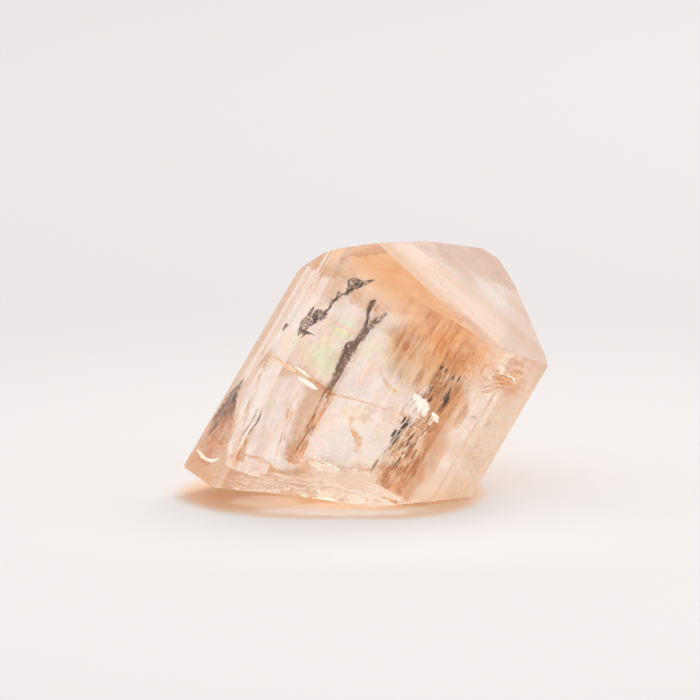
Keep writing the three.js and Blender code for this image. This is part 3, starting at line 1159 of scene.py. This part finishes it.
class TOPAZ_OT_glints(bpy.types.Operator):
    """Build the glowing white glints and patches and the glowing milky patch on the ledge, which are painted
    highlights, and the amber lines
    """

    bl_idname = "topaz.glints"
    bl_label = "Glints and amber lines"

    def execute(self, context):
        inside = context.scene.topaz_inside
        self.set_glints(inside)
        self.set_glowing_milky_patch(inside)
        self.set_amber_lines(inside)
        return {"FINISHED"}

    def set_glints(self, inside):
        parts = [
            crack(f"glint_{i}", stops, inside, 61 + i, border=0.1, holes=0.0, slant=UPRIGHT)
            for i, stops in enumerate(CLEAVAGE_GLINTS)
        ]
        parts += [
            crack(f"white_{i}", stops, inside, 71 + i, border=0.25, holes=0.02)
            for i, stops in enumerate(PAINTED_HIGHLIGHT_PATCHES)
        ]
        # The glints and patches glow: painted highlights.
        material = streaked("glint", (0.9, 0.85, 0.8), inside.pale, inside.pale, 2.0, (1, 1, 1), glow=0.45)
        set_in_stone(join_pieces("cleavage_glints", parts), material)

    def set_glowing_milky_patch(self, inside):
        patch = crack("glowing_milky_patch", LEDGE_GLOWING_PATCH, inside, 65, border=0.1, holes=0.0, slant=UPRIGHT)
        peach, milky = (0.86, 0.7, 0.6), (0.9, 0.82, 0.8)
        # The patch glows: a painted highlight.
        set_in_stone(patch, streaked("milky patch", peach, milky, inside.pale, 1.5, (1, 1, 1), glow=0.25))

    def set_amber_lines(self, inside):
        parts = [
            crack("squiggle", AMBER_SQUIGGLE, inside, 66, border=0.35, holes=0.1),
            crack("curl", AMBER_CURL, inside, 67, border=0.35, holes=0.1, slant=SLANTING),
            crack("line", CLEAVAGE_LINE, inside, 68, border=0.35, slant=UPRIGHT),
            crack("facet", FACET_LINE, inside, 69, border=0.1, holes=0.0),
            crack("ledge", LEDGE_LINE, inside, 70, border=0.2, slant=UPRIGHT),
        ]
        set_in_stone(join_pieces("amber_lines", parts), tinted_film("amber line", line_colours))


class TOPAZ_OT_lens(bpy.types.Operator):
    """Build the brown lens under the lower left facet, a painted reflection, and its glowing white rim, a
    painted highlight
    """

    bl_idname = "topaz.lens"
    bl_label = "Left lens"

    def execute(self, context):
        inside = context.scene.topaz_inside
        body = crack("left_lens_reflection", LENS, inside, 21, spread=0.6, border=0.1, holes=0.0)
        self.set_along_facet(body, tinted_film("left lens", painted_reflection_colours))
        rim = crack("lens_rim_highlight", LENS_RIM_HIGHLIGHT, inside, 22, border=0.1, holes=0.0, slant=UPRIGHT)
        # The rim glows: a painted highlight.
        white = streaked("rim", (0.9, 0.8, 0.72), inside.pale, inside.pale, 2.0, (1, 1, 1), glow=0.4)
        self.set_along_facet(rim, white)
        return {"FINISHED"}

    def set_along_facet(self, piece, material):
        piece.matrix_world = Matrix.Translation(Vector(LENS_CORNER) * MM) @ Matrix.Rotation(LENS_TURN, 4, "Z")
        set_in_stone(piece, material)


class TOPAZ_OT_veil(bpy.types.Operator):
    """Build the pale iridescent veil behind the fissure and the milky haze in the stone's windows, which
    glows as painted light
    """

    bl_idname = "topaz.veil"
    bl_label = "Veil and haze"

    def execute(self, context):
        inside = context.scene.topaz_inside
        veil = film("veil", (4.5, 3.0, 8.7), (6.2, 5.0), inside, 31)
        set_in_stone(veil, tinted_film("pastel veil", veil_colours))
        haze = film("glowing_milky_haze", (6.0, 2.75, 7.6), (9.2, 14.4), inside, 32)
        set_in_stone(haze, glowing_milky_windows())
        return {"FINISHED"}


class TOPAZ_OT_cloud(bpy.types.Operator):
    """Build the amber cloud at the right, the amber behind the chip and the amber zone under the top edge"""

    bl_idname = "topaz.cloud"
    bl_label = "Amber zones"

    def execute(self, context):
        inside = context.scene.topaz_inside
        cloud = film("amber_cloud", (8.0, 1.5, 8.3), (5.6, 9.0), inside, 41)
        set_in_stone(cloud, tinted_film("amber cloud", cloud_colours))
        glow = film("chip_glow", (11.6, 2.4, 11.6), (2.6, 1.8), inside, 43)
        set_in_stone(glow, tinted_film("chip glow", chip_colours))
        edge = film("amber_edge", (6.2, 1.05, 12.2), (8.6, 4.6), inside, 42)
        set_in_stone(edge, tinted_film("amber edge", edge_colours))
        return {"FINISHED"}


class TOPAZ_OT_streaks(bpy.types.Operator):
    """Build the dark and brown streaks, the glowing white streaks that are painted glints, and the amber
    flecks, mostly along the growth direction
    """

    bl_idname = "topaz.streaks"
    bl_label = "Streaks and flecks"

    def execute(self, context):
        inside = context.scene.topaz_inside
        fine = (2, 1, 0.5)
        dark = streaked("dark streak", inside.dark, (0.1, 0.06, 0.04), (0.3, 0.18, 0.1), 3.0, fine)
        rust, tan = (0.3, 0.13, 0.05), (0.7, 0.42, 0.24)
        brown = streaked("brown streak", rust, inside.brown, tan, 2.0, fine, alpha=0.7)
        # The white streaks glow: painted glints.
        white = streaked("white streak", (0.7, 0.6, 0.52), inside.pale, inside.pale, 2.0, fine, glow=0.3)
        amber = tinted_film("amber fleck", fleck_colours)
        for name, seed, bands, material in (
            ("dark_streaks", 51, DARK_BANDS, dark),
            ("brown_streaks", 52, BROWN_BANDS, brown),
            ("painted_glint_streaks", 53, PAINTED_GLINT_BANDS, white),
            ("amber_flecks", 54, AMBER_BANDS, amber),
        ):
            set_in_stone(strew(name, inside, seed, bands), material)
        return {"FINISHED"}


class TOPAZ_OT_stage(bpy.types.Operator):
    """Build the pale floor, the white surroundings, the soft light and the camera"""

    bl_idname = "topaz.stage"
    bl_label = "Stage"

    def execute(self, context):
        stage = context.scene.topaz_stage
        self.lay_floor(stage)
        self.light_surroundings(context, stage)
        self.hang_key_light(context, stage)
        self.place_camera(context, stage)
        self.set_colour_and_bounces(context.scene)
        return {"FINISHED"}

    def lay_floor(self, stage):
        clear_selection()
        bpy.ops.mesh.primitive_plane_add(size=stage.floor_size)
        floor = bpy.context.object
        floor.name = "floor"
        floor.location.z = -stage.floor_gap
        floor.data.materials.append(floor_paint(stage))

    def light_surroundings(self, context, stage):
        world = bpy.data.worlds.new("white surroundings")
        world.use_nodes = True
        tree = world.node_tree
        tree.nodes.clear()
        direction = add(tree, "ShaderNodeTexCoord").outputs["Generated"]
        behind = fade(tree, coordinate(tree, direction, "Y"), -0.9, 0.5, stage.front_share, 1.0)
        strength = times(tree, behind, stage.surround)
        light = add(tree, "ShaderNodeBackground", {"Color": (1.0, 0.99, 0.985, 1), "Strength": strength})
        add(tree, "ShaderNodeOutputWorld", {"Surface": light.outputs[0]})
        context.scene.world = world

    def hang_key_light(self, context, stage):
        light = bpy.data.lights.new("key light", "AREA")
        light.shape = "DISK"
        light.size = KEY_LIGHT_WIDTH
        light.energy = stage.key_power
        lamp = bpy.data.objects.new("key_light", light)
        lamp.location = KEY_LIGHT_PLACE
        lamp.rotation_euler = (-lamp.location).to_track_quat("-Z", "Y").to_euler()
        context.scene.collection.objects.link(lamp)

    def place_camera(self, context, stage):
        data = bpy.data.cameras.new("camera")
        data.lens = stage.lens
        data.sensor_width = 36
        data.clip_start = 0.01
        data.clip_end = 10
        camera = bpy.data.objects.new("camera", data)
        forwards = TURN @ Vector((0, 1, 0))
        camera.location = spot(*PICTURE_CENTRE) - forwards * stage.camera_distance
        camera.rotation_euler = (UPRIGHT - TIP, 0, 0)
        context.scene.collection.objects.link(camera)
        context.scene.camera = camera

    def set_colour_and_bounces(self, scene):
        scene.view_settings.view_transform = "Standard"
        scene.view_settings.look = "None"
        scene.cycles.max_bounces = 32
        scene.cycles.transmission_bounces = 32
        scene.cycles.glossy_bounces = 16
        scene.cycles.transparent_max_bounces = 24
        scene.cycles.diffuse_bounces = 4
        scene.cycles.caustics_refractive = True
        scene.cycles.caustics_reflective = True
        scene.cycles.sample_clamp_indirect = 6
        scene.cycles.blur_glossy = 0.2


STEPS = (
    TOPAZ_OT_crystal,
    TOPAZ_OT_fissure,
    TOPAZ_OT_ragged_crack,
    TOPAZ_OT_glints,
    TOPAZ_OT_lens,
    TOPAZ_OT_veil,
    TOPAZ_OT_cloud,
    TOPAZ_OT_streaks,
    TOPAZ_OT_stage,
)


class TOPAZ_PT_panel(bpy.types.Panel):
    """Lists the steps and settings of the topaz"""

    bl_label = "Topaz"
    bl_idname = "TOPAZ_PT_panel"
    bl_space_type = "VIEW_3D"
    bl_region_type = "UI"
    bl_category = "Topaz"

    def draw(self, context):
        for step in STEPS:
            self.layout.operator(step.bl_idname)
        scene = context.scene
        for settings in (scene.topaz_stone, scene.topaz_inside, scene.topaz_stage):
            for name in settings.__annotations__:
                self.layout.prop(settings, name)


CLASSES = (TopazStone, TopazInside, TopazStage, *STEPS, TOPAZ_PT_panel)


def register():
    for each in CLASSES:
        bpy.utils.register_class(each)
    bpy.types.Scene.topaz_stone = PointerProperty(type=TopazStone)
    bpy.types.Scene.topaz_inside = PointerProperty(type=TopazInside)
    bpy.types.Scene.topaz_stage = PointerProperty(type=TopazStage)


def unregister():
    del bpy.types.Scene.topaz_stage
    del bpy.types.Scene.topaz_inside
    del bpy.types.Scene.topaz_stone
    for each in reversed(CLASSES):
        bpy.utils.unregister_class(each)


def main():
    register()
    bpy.ops.topaz.crystal()
    bpy.ops.topaz.fissure()
    bpy.ops.topaz.ragged_crack()
    bpy.ops.topaz.glints()
    bpy.ops.topaz.lens()
    bpy.ops.topaz.veil()
    bpy.ops.topaz.cloud()
    bpy.ops.topaz.streaks()
    bpy.ops.topaz.stage()


if __name__ == "__main__":
    main()
